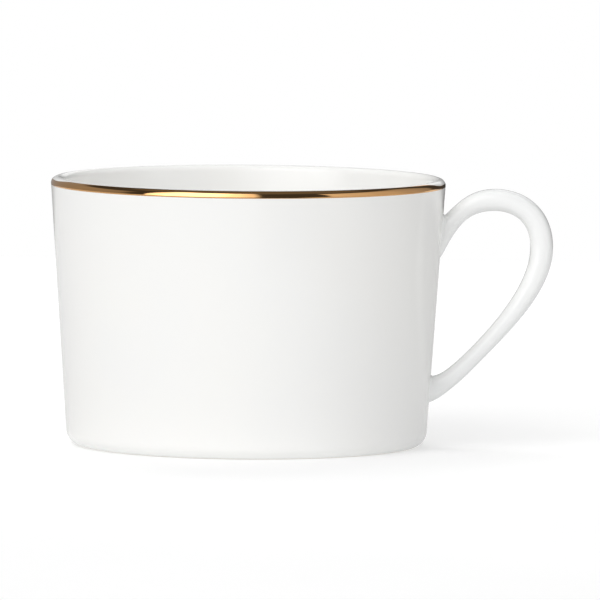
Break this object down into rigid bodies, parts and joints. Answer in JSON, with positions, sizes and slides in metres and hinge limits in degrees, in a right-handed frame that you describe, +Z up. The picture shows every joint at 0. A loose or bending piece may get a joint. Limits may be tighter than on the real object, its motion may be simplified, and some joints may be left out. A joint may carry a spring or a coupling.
{
  "type": "teacup",
  "caption": "Can-shaped glazed bone-china teacup with a teardrop loop handle, a round heel, a shallow foot ring and a gold line on the outside of the lip.",
  "frame": {"origin": "on the bowl's axis, in the plane of the foot ring that the cup stands on", "axes": "+Z up along the bowl's axis, +X from the axis towards the handle, +Y to the left when looking along +X"},
  "size_m": [0.112, 0.0878, 0.0596],
  "materials": {
    "china_glaze": "clear gloss glaze over warm white bone china",
    "slip_glaze": "the same glaze, slightly pooled in the joint",
    "fired_gold": "bright burnished gold, mirror-like with faint brush waviness"
  },
  "bodies": {
    "root": {"cup_body": "china_glaze", "handle": "china_glaze", "upper_slip_joint": "slip_glaze", "lower_slip_joint": "slip_glaze", "rim_gold_band": "fired_gold"}
  },
  "joints": []
}
